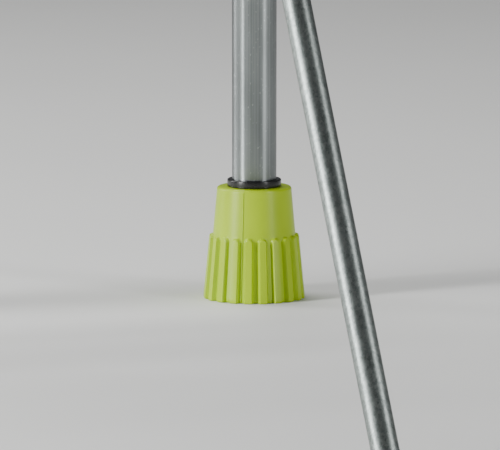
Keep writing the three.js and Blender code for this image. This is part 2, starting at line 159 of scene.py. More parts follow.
class Look:
    """A Principled material whose textures are added step by step."""

    def __init__(self, name, roughness, metallic, **sockets):
        self.material = bpy.data.materials.new(name)
        self.material.use_nodes = True
        self.tree = self.material.node_tree
        self.shader = self.tree.nodes["Principled BSDF"]
        self.shader.inputs["Roughness"].default_value = roughness
        self.shader.inputs["Metallic"].default_value = metallic
        for socket, value in sockets.items():
            self.shader.inputs[socket.replace("_", " ")].default_value = value

    def node(self, kind, **values):
        made = self.tree.nodes.new(kind)
        for key, value in values.items():
            if key in made.inputs:
                made.inputs[key].default_value = value
            else:
                setattr(made, key, value)
        return made

    def link(self, source, target):
        self.tree.links.new(source, target)

    def coordinates(self, scale, along_uv):
        """Stretched texture coordinates: the piece's own metres, or its lengthwise UVs."""
        if along_uv:
            source = self.node("ShaderNodeUVMap", uv_map="metres").outputs["UV"]
        else:
            source = self.node("ShaderNodeTexCoord").outputs["Object"]
        mapping = self.node("ShaderNodeMapping")
        mapping.inputs["Scale"].default_value = scale
        self.link(source, mapping.inputs["Vector"])
        return mapping.outputs["Vector"]

    def noise(self, scale, detail=3.0, along_uv=False, rough=0.5):
        made = self.node("ShaderNodeTexNoise", Scale=1.0, Detail=detail, Roughness=rough)
        self.link(self.coordinates(scale, along_uv), made.inputs["Vector"])
        return made.outputs["Fac"]

    def cells(self, scale):
        """Flat-valued crystal cells."""
        made = self.node("ShaderNodeTexVoronoi", Scale=1.0)
        self.link(self.coordinates(scale, False), made.inputs["Vector"])
        bright = self.node("ShaderNodeRGBToBW")
        self.link(made.outputs["Color"], bright.inputs["Color"])
        return bright.outputs["Val"]

    def spread(self, value, low, high, start=0.0, end=1.0):
        """A texture value taken from one range to another, and kept inside it."""
        made = self.node("ShaderNodeMapRange")
        for socket, number in zip(("From Min", "From Max", "To Min", "To Max"), (start, end, low, high)):
            made.inputs[socket].default_value = number
        self.link(value, made.inputs["Value"])
        return made.outputs["Result"]

    def blend(self, value, first, second):
        made = self.node("ShaderNodeMix", data_type="RGBA")
        made.inputs["A"].default_value = first
        made.inputs["B"].default_value = second
        self.link(value, made.inputs["Factor"])
        return made.outputs["Result"]

    def average(self, first, second, share):
        made = self.node("ShaderNodeMix", data_type="FLOAT")
        made.inputs[0].default_value = share
        self.link(first, made.inputs[2])
        self.link(second, made.inputs[3])
        return made.outputs[0]

    def color(self, output):
        self.link(output, self.shader.inputs["Base Color"])

    def roughness(self, output):
        self.link(output, self.shader.inputs["Roughness"])

    def run_along_uv(self):
        """Takes the direction of the highlights from the lengthwise UVs."""
        tangent = self.node("ShaderNodeTangent", direction_type="UV_MAP", uv_map="metres")
        self.link(tangent.outputs["Tangent"], self.shader.inputs["Tangent"])

    def bump(self, output, distance, strength=1.0):
        made = self.node("ShaderNodeBump", Strength=strength, Distance=distance)
        self.link(output, made.inputs["Height"])
        self.link(made.outputs["Normal"], self.shader.inputs["Normal"])
        return self


def drawn_aluminium():
    """Lengthwise draw lines, a faint oxide haze and a few rubbed marks."""
    look = Look("drawn_aluminium", 0.4, 1.0, Anisotropic=0.95, Anisotropic_Rotation=0.25)
    lines = look.noise((900, 1.5, 1), 2.0, along_uv=True)
    haze = look.noise((14, 5, 1), 4.0, along_uv=True)
    marks = look.noise((420, 26, 1), 2.0, along_uv=True)
    pits = look.spread(look.noise((520, 260, 1), 1.0, along_uv=True), 0, 1, 0.68, 0.74)
    tone = look.average(look.average(lines, haze, 0.6), pits, 0.18)
    look.color(look.blend(look.spread(tone, 0, 1, 0.28, 0.6), srgb(116, 122, 122), srgb(196, 202, 202)))
    polish = look.spread(haze, 0.37, 0.43)
    look.roughness(look.average(polish, look.spread(marks, 0.37, 0.6, 0.62, 0.75), 0.2))
    look.run_along_uv()
    return look.bump(look.average(look.average(lines, marks, 0.3), pits, 0.3), 0.00008, 0.25).material


def extruded_aluminium():
    look = Look("extruded_aluminium", 0.38, 1.0)
    lines = look.noise((2, 700, 700), 2.0)
    haze = look.noise((9, 16, 16), 4.0)
    look.color(look.blend(look.spread(haze, 0, 1, 0.3, 0.7), srgb(176, 178, 180), srgb(208, 209, 210)))
    look.roughness(look.average(look.spread(haze, 0.28, 0.5), look.spread(lines, 0.25, 0.5), 0.4))
    return look.bump(lines, 0.0001, 0.3).material


def cast_aluminium():
    look = Look("cast_aluminium", 0.5, 1.0)
    grain = look.noise((650, 650, 650), 3.0)
    patches = look.noise((35, 35, 35), 4.0)
    look.color(look.blend(look.spread(patches, 0, 1, 0.3, 0.7), srgb(140, 142, 145), srgb(182, 184, 186)))
    look.roughness(look.spread(look.average(grain, patches, 0.5), 0.4, 0.62))
    return look.bump(grain, 0.0005, 0.5).material


def galvanised_steel():
    """A dull zinc coat: fine crystal cells under a grainy, cloudy skin."""
    look = Look("galvanised_steel", 0.46, 1.0, Anisotropic=0.5, Anisotropic_Rotation=0.25)
    crystals = look.cells((420, 420, 260))
    clouds = look.noise((60, 60, 30), 5.0)
    grain = look.noise((900, 900, 600), 2.0)
    tone = look.average(look.average(crystals, clouds, 0.4), grain, 0.5)
    look.color(look.blend(look.spread(tone, 0, 1, 0.3, 0.7), srgb(112, 119, 117), srgb(158, 165, 162)))
    look.roughness(look.spread(look.average(clouds, grain, 0.5), 0.4, 0.52, 0.3, 0.7))
    look.run_along_uv()
    return look.bump(grain, 0.00012, 0.5).material


def zinc_plate():
    look = Look("zinc_plate", 0.3, 1.0)
    patches = look.noise((120, 120, 120), 4.0)
    look.color(look.blend(look.spread(patches, 0, 1, 0.35, 0.65), srgb(186, 190, 196), srgb(206, 203, 190)))
    look.roughness(look.spread(patches, 0.22, 0.42))
    return look.bump(look.noise((1500, 1500, 1500), 2.0), 0.00005, 0.3).material


def lime_plastic():
    """Semi-matt moulded plastic with a fine eroded skin and slight flow shading."""
    look = Look("lime_plastic", 0.3, 0.0, Specular_IOR_Level=0.4)
    flow = look.noise((16, 16, 9), 3.0)
    skin = look.noise((1300, 1300, 1300), 2.0)
    look.color(look.blend(look.spread(flow, 0, 1, 0.3, 0.7), srgb(158, 188, 0), srgb(172, 202, 4)))
    look.roughness(look.spread(look.average(skin, flow, 0.4), 0.28, 0.4, 0.3, 0.7))
    return look.bump(skin, 0.00012, 0.4).material


def black_plastic():
    look = Look("black_plastic", 0.24, 0.0)
    flow = look.noise((60, 60, 60), 3.0)
    look.color(look.blend(flow, srgb(18, 18, 19), srgb(30, 30, 31)))
    look.roughness(look.spread(flow, 0.18, 0.36, 0.3, 0.7))
    return look.bump(look.noise((900, 900, 900), 2.0), 0.00006, 0.3).material


def brass():
    look = Look("brass", 0.3, 1.0)
    patches = look.noise((90, 90, 90), 3.0)
    look.color(look.blend(patches, srgb(176, 143, 76), srgb(206, 176, 108)))
    look.roughness(look.spread(patches, 0.22, 0.42))
    return look.material


def floor_paint():
    look = Look("studio_floor", 0.75, 0.0)
    cloud = look.noise((1.2, 1.2, 1.2), 3.0)
    look.color(look.blend(cloud, srgb(206, 206, 204), srgb(214, 214, 212)))
    return look.material


LOOKS = {
    "drawn_aluminium": drawn_aluminium(),
    "extruded_aluminium": extruded_aluminium(),
    "cast_aluminium": cast_aluminium(),
    "galvanised_steel": galvanised_steel(),
    "zinc_plated_steel": zinc_plate(),
    "lime_plastic": lime_plastic(),
    "black_plastic": black_plastic(),
    "brass": brass(),
}


# ---- Mesh building ------------------------------------------------------------------------
def basis(axis):
    """Two directions square to an axis and to each other."""
    side = axis.cross(X_AXIS if abs(axis.x) < 0.9 else Y_AXIS).normalized()
    return side, axis.cross(side).normalized()


def ring_mesh(rings, loop=False):
    """A skin over rings of points: vertices, faces and UVs in metres. A ring of one point closes an end."""
    columns = max(len(ring) for ring in rings)
    vertices, starts, heights = [], [], [0.0]
    for ring in rings:
        starts.append(len(vertices))
        vertices.extend(ring)
    for low, high in zip(rings, rings[1:] + rings[:1]):
        heights.append(heights[-1] + (high[0] - low[0]).length)
    widest = max((ring[0] - ring[len(ring) // 2]).length for ring in rings) / 2
    step = 2 * math.pi * widest / columns
    faces, uvs = [], []
    for i in range(len(rings) if loop else len(rings) - 1):
        low, high = i, (i + 1) % len(rings)
        for j in range(columns):
            corners = [(low, j), (low, j + 1), (high, j + 1), (high, j)]
            face, uv = [], []
            for ring, k in corners:
                size = len(rings[ring])
                vertex = starts[ring] + (k % size if size > 1 else 0)
                if vertex in face:
                    continue
                face.append(vertex)
                uv.append((k * step, heights[i + (ring != low)]))
            faces.append(face)
            uvs.extend(uv)
    return vertices, faces, uvs


def around(count):
    """Evenly spaced turns, in radians."""
    return [2 * math.pi * i / count for i in range(count)]


def circle(centre, axis, radius, count):
    across, over = basis(axis)
    return [centre + (across * math.cos(t) + over * math.sin(t)) * radius for t in around(count)]


def lathe(origin, axis, profile, count=64, loop=False):
    """A turned shape from (radius, distance along the axis) points. A zero radius closes an end."""
    rings = []
    for radius, along in profile:
        centre = origin + axis * along
        rings.append([centre] if radius == 0 else circle(centre, axis, radius, count))
    return ring_mesh(rings, loop)


def arc(x, y, radius, start, end, steps=8):
    """Points about (x, y), from one angle in degrees to another."""
    angles = [math.radians(start + (end - start) * i / steps) for i in range(steps + 1)]
    return [(x + radius * math.cos(a), y + radius * math.sin(a)) for a in angles]


def fillet(r, h, radius, start, end, steps=4):
    """Profile points of a small rounded corner about (r, h)."""
    return arc(r, h, radius, start, end, steps)


def rounded_rod(origin, axis, start, end, radius, edge, count=64):
    """A solid round bar whose ends have rounded edges."""
    profile = [(0, start), *fillet(radius - edge, start + edge, edge, -90, 0)]
    profile += [*fillet(radius - edge, end - edge, edge, 0, 90), (0, end)]
    return lathe(origin, axis, profile, count)


def rounded_tube(origin, axis, start, end, outer, inner, edge, count=96):
    profile = fillet(outer - edge, start + edge, edge, -90, 0)
    profile += fillet(outer - edge, end - edge, edge, 0, 90)
    profile += fillet(inner + edge, end - edge, edge, 90, 180)
    profile += fillet(inner + edge, start + edge, edge, 180, 270)
    return lathe(origin, axis, profile, count, loop=True)


def together(shapes):
    """Several shapes' vertices, faces and UVs as one."""
    vertices, faces, uvs = [], [], []
    for shape_vertices, shape_faces, shape_uvs in shapes:
        shift = len(vertices)
        vertices.extend(shape_vertices)
        faces.extend([index + shift for index in face] for face in shape_faces)
        uvs.extend(shape_uvs)
    return vertices, faces, uvs


def build(name, shapes, slot, body, nodes, sharp=32):
    """One object from one or more shapes, with its look, its body and the CAD nodes it stands for."""
    vertices, faces, uvs = together(shapes)
    mesh = bpy.data.meshes.new(name)
    mesh.from_pydata(vertices, [], faces)
    layer = mesh.uv_layers.new(name="metres")
    for loop, uv in zip(layer.data, uvs):
        loop.uv = uv
    made = bpy.data.objects.new(name, mesh)
    bpy.context.scene.collection.objects.link(made)
    finish_piece(made, slot, body, nodes, sharp)


def finish_piece(made, slot, body, nodes, sharp):
    """Gives an object its shading and its look, and says where it belongs."""
    mesh = made.data
    mesh.materials.append(LOOKS[slot])
    outward_faces(mesh)
    mesh.shade_smooth()
    mesh.set_sharp_from_angle(angle=math.radians(sharp))
    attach(made, body)
    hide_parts(*nodes)


def outward_faces(mesh):
    bm = bmesh.new()
    bm.from_mesh(mesh)
    bmesh.ops.recalc_face_normals(bm, faces=bm.faces)
    bm.to_mesh(mesh)
    bm.free()


def plate(outlines, place, right, over, half, edge):
    """A flat outline, with holes if more follow, thickened both ways about a point, with rounded edges."""
    curve = bpy.data.curves.new("outline", "CURVE")
    curve.dimensions = "2D"
    curve.fill_mode = "BOTH"
    curve.extrude = half - edge
    curve.bevel_depth = edge
    curve.bevel_resolution = 2
    curve.offset = -edge
    for outline in outlines:
        spline = curve.splines.new("POLY")
        spline.points.add(len(outline) - 1)
        spline.use_cyclic_u = True
        for point, (a, b) in zip(spline.points, outline):
            point.co = (a, b, 0, 1)
    holder = bpy.data.objects.new("outline", curve)
    mesh = bpy.data.meshes.new_from_object(holder)
    normal = right.cross(over)
    vertices = [place + right * v.co.x + over * v.co.y + normal * v.co.z for v in mesh.vertices]
    faces = [list(face.vertices) for face in mesh.polygons]
    uvs = []
    for face in mesh.polygons:
        corners = [mesh.vertices[index].co for index in face.vertices]
        uvs.extend((corner.x + corner.z, corner.y) for corner in corners)
    bpy.data.objects.remove(holder)
    bpy.data.curves.remove(curve)
    bpy.data.meshes.remove(mesh)
    return vertices, faces, uvs


def fuse(made, voxel, rounds):
    """Melts overlapping shells into one casting with soft inner corners."""
    remesh = made.modifiers.new("fuse", "REMESH")
    remesh.mode = "VOXEL"
    remesh.voxel_size = voxel
    smooth = made.modifiers.new("soften", "SMOOTH")
    smooth.iterations = rounds
    mesh = bpy.data.meshes.new_from_object(made.evaluated_get(bpy.context.evaluated_depsgraph_get()))
    made.modifiers.clear()
    mesh.name = made.name
    made.data = mesh


def casting(name, shapes, slot, body, nodes, voxel, rounds=6):
    """One object from shapes that are melted together, as a casting is."""
    vertices, faces, _ = together(shapes)
    mesh = bpy.data.meshes.new(name)
    mesh.from_pydata(vertices, [], faces)
    outward_faces(mesh)
    made = bpy.data.objects.new(name, mesh)
    bpy.context.scene.collection.objects.link(made)
    fuse(made, voxel, rounds)
    finish_piece(made, slot, body, nodes, sharp=60)


# ---- Camera -------------------------------------------------------------------------------
CAMERA_TURN = math.radians(20)  # from straight behind, towards +X
CAMERA_RISE = math.radians(8)
CAMERA_DISTANCE = 9.0
VIEW_WIDTH = 0.508  # metres across the picture at the foot
AIM_LEFT = 0.0043  # from the middle of the foot's base to the middle of the picture
AIM_UP = 0.0732
SENSOR = 36.0


def place_camera():
    """A long lens on the left foot: its base sits a little right of the middle and low in the picture."""
    flat = Vector((math.sin(CAMERA_TURN), math.cos(CAMERA_TURN), 0))
    back = flat * math.cos(CAMERA_RISE) + UP * math.sin(CAMERA_RISE)
    right = (-back).cross(UP).normalized()
    over = right.cross(-back).normalized()
    foot = foot_middle[-1]
    aim = Vector((foot.x, foot.y, 0)) - right * AIM_LEFT + over * AIM_UP
    data = bpy.data.cameras.new("camera")
    data.sensor_width = SENSOR
    data.lens = SENSOR * CAMERA_DISTANCE / VIEW_WIDTH
    data.clip_end = 200
    camera = bpy.data.objects.new("camera", data)
    bpy.context.scene.collection.objects.link(camera)
    camera.location = aim + back * CAMERA_DISTANCE
    camera.rotation_euler = (-back).to_track_quat("-Z", "Y").to_euler()
    bpy.context.scene.camera = camera


# ---- Feet ---------------------------------------------------------------------------------
RIB_COUNT = 20
STEPS_PER_RIB = 14
RIB_FLARE = 0.15  # how much deeper a rib is at the floor
RIM_EDGE = 2.2 * MM
SOLE_LIP = 1.1 * MM
SOLE_GROOVE = 1.6 * MM
# Grip rings under the foot: share of the way out from the middle, and height.
SOLE_STEPS = ((0.3, SOLE_GROOVE), (0.34, 0), (0.52, 0), (0.56, SOLE_GROOVE), (0.74, SOLE_GROOVE), (0.78, 0))
WIDE_STEP = 3 * MM  # between the rows of a foot's wall
FINE_STEP = 0.8 * MM  # the same, near the ribs' tops
# A mould line is a fine groove between two ridges: radians between its marks, and how far each stands out.
LINE_STEP = 0.0063
LINE_MARKS = (0, 1, -1.6, 1, 0)
LINE_DEPTH = 0.28 * MM
LINE_TURN = {-1: math.radians(54), 1: math.radians(126)}


def smooth_step(x):
    x = min(max(x, 0.0), 1.0)
    return x * x * (3 - 2 * x)


def rib_height(across, z, half, top):
    """How far a rib stands out, from 0 to 1: an arched footprint with soft shoulders."""
    above = max(z - (top - half), 0.0)
    inside = half - math.hypot(across, above)
    return smooth_step(inside / (1.5 * MM) + 0.15)


def leaning_ring(turns, point, axis, radius, z):
    """Where a leaning tube's surface crosses a height."""
    ring = []
    for turn in turns:
        out = Vector((math.cos(turn), math.sin(turn), 0))
        start = point + (out - axis * out.dot(axis)).normalized() * radius
        ring.append(start + axis * ((z - start.z) / axis.z))
    return ring


def foot_columns(line_turn):
    """The turns of a foot's wall, with the marks of its two mould lines among them."""
    line_marks = []
    for half_turn in (0, math.pi):
        for step, mark in enumerate(LINE_MARKS):
            turn = line_turn + half_turn + (step - len(LINE_MARKS) // 2) * LINE_STEP
            line_marks.append((turn % (2 * math.pi), mark))

    def is_clear(turn):
        return all(abs(turn - marked) > LINE_STEP for marked, _ in line_marks)

    clear = [turn for turn in around(RIB_COUNT * STEPS_PER_RIB) if is_clear(turn)]
    return sorted([(turn, 0) for turn in clear] + line_marks)


def moulded_foot(name, centre, shape, tube_point, tube_axis, bore, socket_z, line_turn, body, node):
    """A ribbed cone with a rolled rim, a tilted socket, a mould line and a grooved sole."""
    height, rib_top, depth = shape["height"], shape["rib_top"], shape["depth"]
    slope = (shape["top"] - shape["base"]) / height
    columns = foot_columns(line_turn)
    pitch = 2 * math.pi / RIB_COUNT
    rib_half = 0.325 * pitch  # half a rib's width, as a share of the radius

    def wall(turn, mark, z, shrink=0.0):
        radius = shape["base"] + slope * z
        across = ((turn / pitch) % 1.0 - 0.5) * pitch * radius
        grow = depth * (1 + RIB_FLARE * max(1 - z / rib_top, 0))
        radius += grow * rib_height(across, z, rib_half * radius, rib_top)
        radius += mark * LINE_DEPTH - shrink
        return Vector((centre.x + radius * math.cos(turn), centre.y + radius * math.sin(turn), z))

    rings = [[Vector((centre.x, centre.y, SOLE_GROOVE))]]
    for share, z in SOLE_STEPS:
        rings.append([wall(turn, 0, z, shape["base"] * (1 - share)) for turn, _ in columns])
    rings.append([wall(turn, 0, 0, SOLE_LIP) for turn, _ in columns])
    rings.append([wall(turn, mark, 0.35 * SOLE_LIP, 0.35 * SOLE_LIP) for turn, mark in columns])
    heights = [SOLE_LIP]
    while heights[-1] < height - RIM_EDGE - WIDE_STEP:
        near_rib_top = abs(heights[-1] - rib_top + 3.5 * MM) < 7 * MM
        heights.append(heights[-1] + (FINE_STEP if near_rib_top else WIDE_STEP))
    for z in [*heights, height - RIM_EDGE]:
        rings.append([wall(turn, mark, z) for turn, mark in columns])
    for step in (0.25, 0.5, 0.75, 1.0):
        roll = step * math.pi / 2
        z = height - RIM_EDGE + RIM_EDGE * math.sin(roll)
        shrink = RIM_EDGE * (1 - math.cos(roll))
        rings.append([wall(turn, mark * (1 - step), z, shrink) for turn, mark in columns])
    turns = [turn for turn, _ in columns]
    rings.append(leaning_ring(turns, tube_point, tube_axis, bore, height))
    rings.append(leaning_ring(turns, tube_point, tube_axis, bore, socket_z))
    rings.append([tube_point + tube_axis * ((socket_z - tube_point.z) / tube_axis.z)])
    build(name, [ring_mesh(rings)], "lime_plastic", body, [node], sharp=48)


def seal_ring(name, centre, bottom, height, radius, tube_point, tube_axis, bore, body, node):
    """A glossy ring round a leaning tube, with a rounded shoulder and a snug tilted bore."""
    turns = around(96)
    foot_edge = 0.6 * MM
    shoulder = 1.6 * MM

    def outer(r, z):
        return [Vector((centre.x + r * math.cos(t), centre.y + r * math.sin(t), bottom + z)) for t in turns]

    rings = [outer(r, z) for r, z in fillet(radius - foot_edge, foot_edge, foot_edge, -90, 0)]
    rings += [outer(r, z) for r, z in fillet(radius - shoulder, height - shoulder, shoulder, 0, 90)]
    for z in (bottom + height, bottom):
        rings.append(leaning_ring(turns, tube_point, tube_axis, bore, z))
    build(name, [ring_mesh(rings, loop=True)], "black_plastic", body, [node], sharp=40)


def stile_feet():
    for side, word in SIDES.items():
        axis = stile_direction(side)
        base = foot_middle[side]
        point = stile_point(side, FOOT_HEIGHT)
        # The mould line lies in a hollow between ribs, on the face towards the prop.
        moulded_foot(f"{word}_ribbed_foot", base, STILE_FOOT, point, axis, STILE_R + GAP,
                     STILE_BOTTOM - 1 * MM, LINE_TURN[side], "stile_frame", f"{word}_foot")
        seal_ring(f"{word}_seal_ring", base, FOOT_HEIGHT + GAP, RING_HEIGHT, RING_R, point, axis,
                  STILE_R + SNUG, "stile_frame", f"{word}_foot_collar")


def prop_base():
    _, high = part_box("prop_foot")
    ring_low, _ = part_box("prop_foot_collar")
    point = prop_point((hinge.z - high.z) / -prop_down.z)
    shape = {**PROP_FOOT, "height": high.z}
    moulded_foot("prop_ribbed_foot", box_middle("prop_foot"), shape, point, -prop_down, INNER_R + GAP,
                 INNER_END_Z - 2 * MM, math.radians(90), "leg", "prop_foot")
    seal_ring("prop_seal_ring", box_middle("prop_foot_collar"), ring_low.z, PROP_RING_HEIGHT, PROP_RING_R,
              point, -prop_down, INNER_R + SNUG, "leg", "prop_foot_collar")


# ---- Tubes --------------------------------------------------------------------------------
def stiles():
    for side, word in SIDES.items():
        axis = stile_direction(side)
        low = stile_point(side, STILE_BOTTOM)
        length = (stile_point(side, STILE_TOP) - low).length
        tube = rounded_tube(low, axis, 0, length, STILE_R, STILE_BORE, 0.5 * MM, 128)
        build(f"{word}_stile_tube", [tube], "drawn_aluminium", "stile_frame", [f"{word}_stile"])
        top = stile_point(side, STILE_TOP)
        plug_r = STILE_BORE - GAP
        rim, crown = 0.8 * MM, 2.4 * MM
        rim_top = 2.6 * MM
        profile = [(0, -CAP_PLUG), (plug_r - 1.7 * MM, -CAP_PLUG), (plug_r, 3 * MM - CAP_PLUG), (plug_r, GAP)]
        profile += [*fillet(STILE_R - rim, GAP + rim, rim, -90, 0), (STILE_R, rim_top)]
        profile += fillet(STILE_R - crown, rim_top, crown, 15, 75, 5)
        profile += [(10 * MM, CAP_HEIGHT - 0.4 * MM), (0, CAP_HEIGHT)]
        build(f"{word}_end_cap", [lathe(top, axis, profile, 96)], "black_plastic", "stile_frame",
              [f"{word}_stile_cap"], sharp=50)


def prop_tubes():
    cut_edge = 0.4 * MM
    bottom = (hinge.z - INNER_END_Z) / -prop_down.z
    outer = rounded_tube(hinge, prop_down, OUTER_TOP, OUTER_BOTTOM, OUTER_R, OUTER_BORE, cut_edge)
    build("outer_tube", [outer], "galvanised_steel", "prop", ["prop_outer_tube"])
    inner = rounded_tube(hinge, prop_down, INNER_TOP, bottom, INNER_R, INNER_BORE, cut_edge)
    build("inner_tube", [inner], "galvanised_steel", "leg", ["prop_inner_tube"])
    bush_r = OUTER_BORE - 0.2 * MM
    bush = rounded_rod(hinge, prop_down, INNER_TOP - 15 * MM, INNER_TOP - GAP, bush_r, 1.5 * MM)
    plug_end = INNER_TOP + 30 * MM
    plug = rounded_rod(hinge, prop_down, INNER_TOP - 4 * MM, plug_end, INNER_BORE - GAP, 1 * MM)
    build("sliding_bush", [bush, plug], "black_plastic", "leg", ["inner_tube_bush"])


# ---- Fasteners ----------------------------------------------------------------------------
def hexagon(place, axis, start, height, radius, bore=0.0, count=72):
    """A hexagonal head or nut with its corners chamfered; a bore makes it a nut."""
    across, over = basis(axis)
    flat = radius * math.cos(math.pi / HEX_SIDES)

    def ring(along, limit):
        points = []
        for turn in around(count):
            off = (turn + math.pi / HEX_SIDES) % (2 * math.pi / HEX_SIDES) - math.pi / HEX_SIDES
            reach = min(flat / math.cos(math.pi / HEX_SIDES - abs(off)), limit)
            points.append(place + axis * along + (across * math.cos(turn) + over * math.sin(turn)) * reach)
        return points

    rise = (radius - flat) * 0.6
    end = start + height
    if bore:
        rings = [ring(start, flat * 0.97), ring(start + 0.15 * MM, flat), ring(start + rise, radius)]
    else:
        rings = [[place + axis * start], ring(start, flat), ring(start, radius)]
    rings += [ring(end - rise, radius), ring(end, flat * 0.97)]
    if bore:
        rings += [circle(place + axis * along, axis, bore, count) for along in (end, start)]
        return ring_mesh(rings, loop=True)
    return ring_mesh([*rings, [place + axis * end]])


def thread(place, axis, start, end, radius, pitch):
    """A threaded shank: a fine saw-tooth profile."""
    profile = [(0, start)]
    turns = max(1, int(abs(end - start) / pitch))
    step = (end - start) / turns
    for i in range(turns):
        profile += [(radius * 0.9, start + step * i), (radius, start + step * (i + 0.5))]
    profile += [(radius * 0.86, end), (0, end)]
    return lathe(place, axis, profile, 24)


def hex_bolt(name, place, axis, seat, height, radius, shank, end, body, nodes):
    """A bolt whose head sits on a washer face at the seat, with its shank running the other way."""
    head = hexagon(place, axis, seat + 0.4 * MM, height - 0.4 * MM, radius)
    face = rounded_rod(place, axis, seat, seat + 0.6 * MM, radius * 0.84, 0.2 * MM, 48)
    rod = rounded_rod(place, axis, end, seat + 0.3 * MM, shank, 0.6 * MM, 32)
    build(name, [head, face, rod], "zinc_plated_steel", body, nodes)


def outward(side):
    along = stile_direction(side)
    across = X_AXIS * side
    return (across - along * across.dot(along)).normalized()


def backward(side):
    return stile_direction(side).cross(X_AXIS).normalized()


# ---- Treads -------------------------------------------------------------------------------
def tread_outline():
    """The hollow section: a ridged top, rounded lower corners and one cell."""
    half = TREAD_DEPTH / 2
    corner = 5 * MM
    top = TREAD_HEIGHT
    outline = [*arc(half - corner, corner, corner, -90, 0), (half, top)]
    pitch = TREAD_DEPTH / TREAD_RIDGES
    crest = 0.7 * MM
    for i in range(TREAD_RIDGES):
        right = half - (i + 0.25) * pitch
        left = right - pitch / 2
        outline += [(right, top), (right, top + RIDGE_HEIGHT - crest), (right - crest, top + RIDGE_HEIGHT)]
        outline += [(left + crest, top + RIDGE_HEIGHT), (left, top + RIDGE_HEIGHT - crest), (left, top)]
    outline.append((-half, top))
    outline += arc(-half + corner, corner, corner, 180, 270)
    wide, low, high = half - TREAD_WALL, TREAD_WALL, TREAD_HEIGHT - TREAD_WALL
    under, over = 3 * MM, 1 * MM  # the cell's corner radii
    hole = arc(wide - under, low + under, under, -90, 0, 4)
    hole += arc(wide - over, high - over, over, 0, 90, 3)
    hole += arc(-wide + over, high - over, over, 90, 180, 3)
    hole += arc(-wide + under, low + under, under, 180, 270, 4)
    return [outline, hole]


def treads():
    for number, top in enumerate(TREAD_TOPS, 1):
        low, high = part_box(f"tread_{number}")
        middle = (low + high) / 2
        place = Vector((0, middle.y, top - TREAD_HEIGHT))
        shape = plate(tread_outline(), place, Y_AXIS, UP, (high.x - low.x) / 2, 0.25 * MM)
        build(f"step_{number}", [shape], "extruded_aluminium", "stile_frame", [f"tread_{number}"], sharp=28)
        for side, word in SIDES.items():
            tread_end(side, word, number, top)


def tread_end(side, word, number, top):
    """The saddle bracket, the bolt through the stile and the screw under the tread."""
    centre = stile_point(side, top - TREAD_HEIGHT / 2)
    reach = STILE_R + SADDLE_WEB
    inward = X_AXIS * -side
    corner = 3 * MM
    # Drawn about the stile's axis, with x running in towards the tread.
    bore = STILE_R + GAP
    start = math.degrees(math.acos(SADDLE_BACK / bore))
    outline = [(SADDLE_BACK, -SADDLE_HALF), *arc(reach - corner, corner - SADDLE_HALF, corner, -90, 0, 4)]
    outline += [*arc(reach - corner, SADDLE_HALF - corner, corner, 0, 90, 4), (SADDLE_BACK, SADDLE_HALF)]
    outline += arc(0, 0, bore, start, -start, 28)
    saddle = plate([outline], centre, inward, Y_AXIS, TREAD_HEIGHT / 2, 1.1 * MM)
    leaned = lean_with(saddle, centre, stile_direction(side), inward, reach)
    tongue_middle = centre + inward * (reach + TONGUE / 2)
    high = TREAD_HEIGHT / 2 - TREAD_WALL - GAP
    block = [(-TONGUE_HALF, -high), (TONGUE_HALF, -high), (TONGUE_HALF, high), (-TONGUE_HALF, high)]
    tongue = plate([block], tongue_middle, Y_AXIS, UP, TONGUE / 2 + 0.5 * MM, 0.8 * MM)
    build(f"{word}_saddle_{number}", [leaned, tongue], "cast_aluminium", "stile_frame",
          [f"{word}_bracket_{number}"])
    hex_bolt(f"{word}_step_bolt_{number}", centre, outward(side), STILE_R + GAP, BOLT_HEAD_H, BOLT_HEAD_R,
             BOLT_R, -BOLT_REACH, "stile_frame", [f"{word}_tread_bolt_{number}"])
    place = box_middle(f"{word}_tread_screw_{number}")
    place.z = top - TREAD_HEIGHT
    # A domed head with a round recess, then the shank that goes up into the tongue.
    shank_r = 2.5 * MM
    profile = [(0, -1.9 * MM), (1.3 * MM, -1.9 * MM), (1.6 * MM, -2.7 * MM)]
    profile += [*fillet(3.2 * MM, -1.1 * MM, 1.8 * MM, -80, 0, 5), (5 * MM, -GAP), (shank_r, -GAP)]
    profile += [(shank_r, 7.5 * MM), (0, 8 * MM)]
    build(f"{word}_step_screw_{number}", [lathe(place, UP, profile, 40)], "zinc_plated_steel", "stile_frame",
          [f"{word}_tread_screw_{number}"])


def lean_with(shape, centre, axis, inward, reach):
    """Slides a saddle's points along with the leaning stile, less and less towards the upright tread end."""
    vertices, faces, uvs = shape
    moved = []
    for point in vertices:
        rise = point.z - centre.z
        share = 1 - smooth_step(((point - centre).dot(inward) - 0.6 * reach) / (0.4 * reach))
        moved.append(point + Vector((axis.x / axis.z, axis.y / axis.z, 0)) * rise * share)
    return moved, faces, uvs


# ---- Head, hinge and prop fittings --------------------------------------------------------
def link_outline(a, a_r, b, b_r):
    """The outline round two circles, in the YZ plane."""
    lean = math.degrees(math.atan2(b.z - a.z, b.y - a.y))
    open_turn = math.degrees(math.acos((a_r - b_r) / math.hypot(b.y - a.y, b.z - a.z)))
    outline = arc(a.y, a.z, a_r, lean + open_turn, lean - open_turn + 360, 24)
    return outline + arc(b.y, b.z, b_r, lean - open_turn, lean + open_turn, 16)


